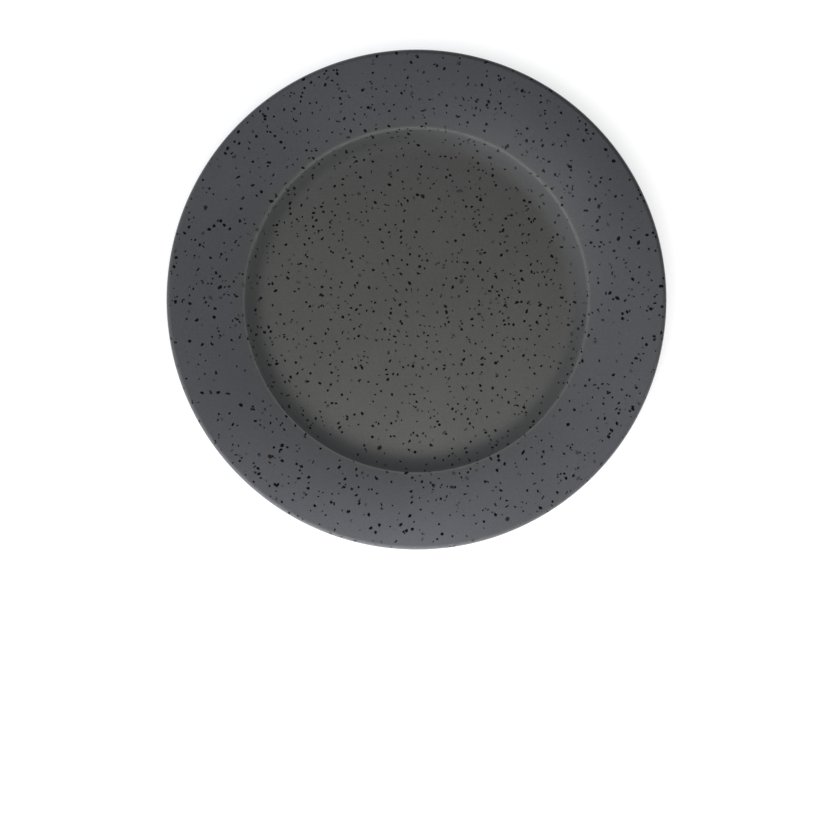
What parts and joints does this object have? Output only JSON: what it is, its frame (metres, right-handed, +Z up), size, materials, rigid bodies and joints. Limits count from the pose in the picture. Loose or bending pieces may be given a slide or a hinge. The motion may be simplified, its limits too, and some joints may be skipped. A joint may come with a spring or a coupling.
{
  "type": "dinner plate",
  "caption": "Round dinner plate with a wide, gently crowned rim, a shallow well and a bare foot ring, in speckled charcoal glazed stoneware.",
  "frame": {"origin": "middle of the foot ring, on the plane that the plate stands on", "axes": "+Z up along the plate's axis, X and Y across it"},
  "size_m": [0.27, 0.27, 0.022],
  "materials": {
    "clay": "bare fired stoneware, matt and slightly grainy",
    "speckled_glaze": "satin charcoal glaze with dark iron specks",
    "base_glaze": "satin charcoal glaze with dark iron specks"
  },
  "bodies": {
    "root": {"stoneware_body": "clay", "outer_glaze": "speckled_glaze", "base_glaze": "base_glaze"}
  },
  "joints": []
}
